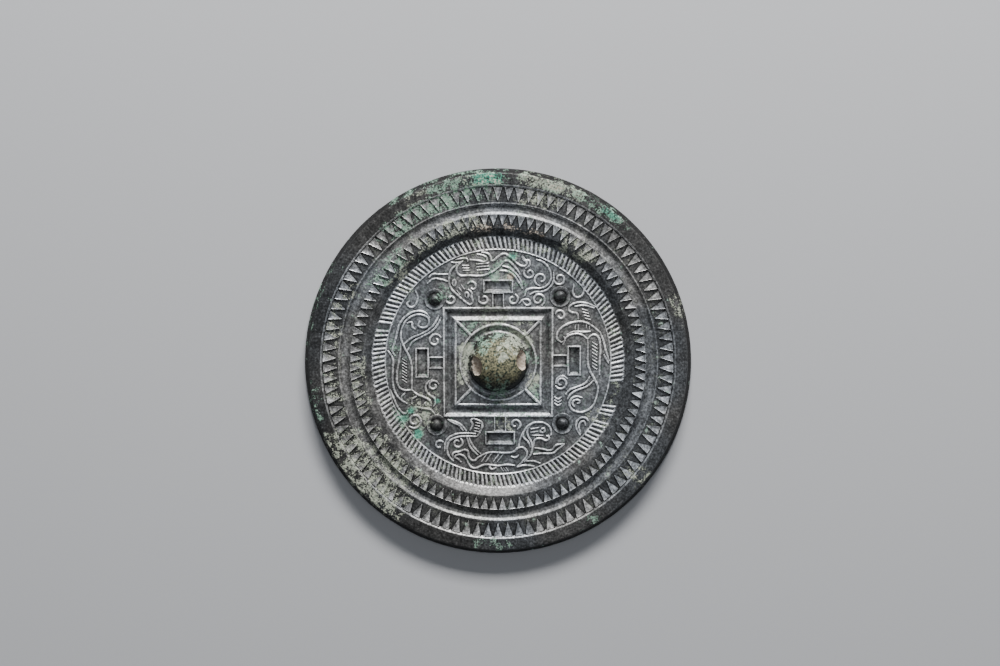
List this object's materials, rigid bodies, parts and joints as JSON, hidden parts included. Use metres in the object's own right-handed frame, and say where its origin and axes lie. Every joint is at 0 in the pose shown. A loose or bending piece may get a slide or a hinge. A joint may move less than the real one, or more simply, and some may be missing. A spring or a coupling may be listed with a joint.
{
  "type": "bronze mirror",
  "caption": "Round cast bronze mirror with a plain polished face and a back in low relief: square, T shapes, nipples, beasts, toothed rings and a pierced central knob.",
  "frame": {"origin": "middle of the polished face, at its lowest point, where the mirror rests", "axes": "+Z out of the decorated back, through the knob; +Y towards the side that is uppermost in the picture; +X to its right"},
  "size_m": [0.14, 0.14, 0.0103],
  "materials": {
    "bronze": "dark silvery bronze with green, cream and turquoise corrosion"
  },
  "bodies": {
    "root": {"mirror": "bronze"}
  },
  "joints": []
}
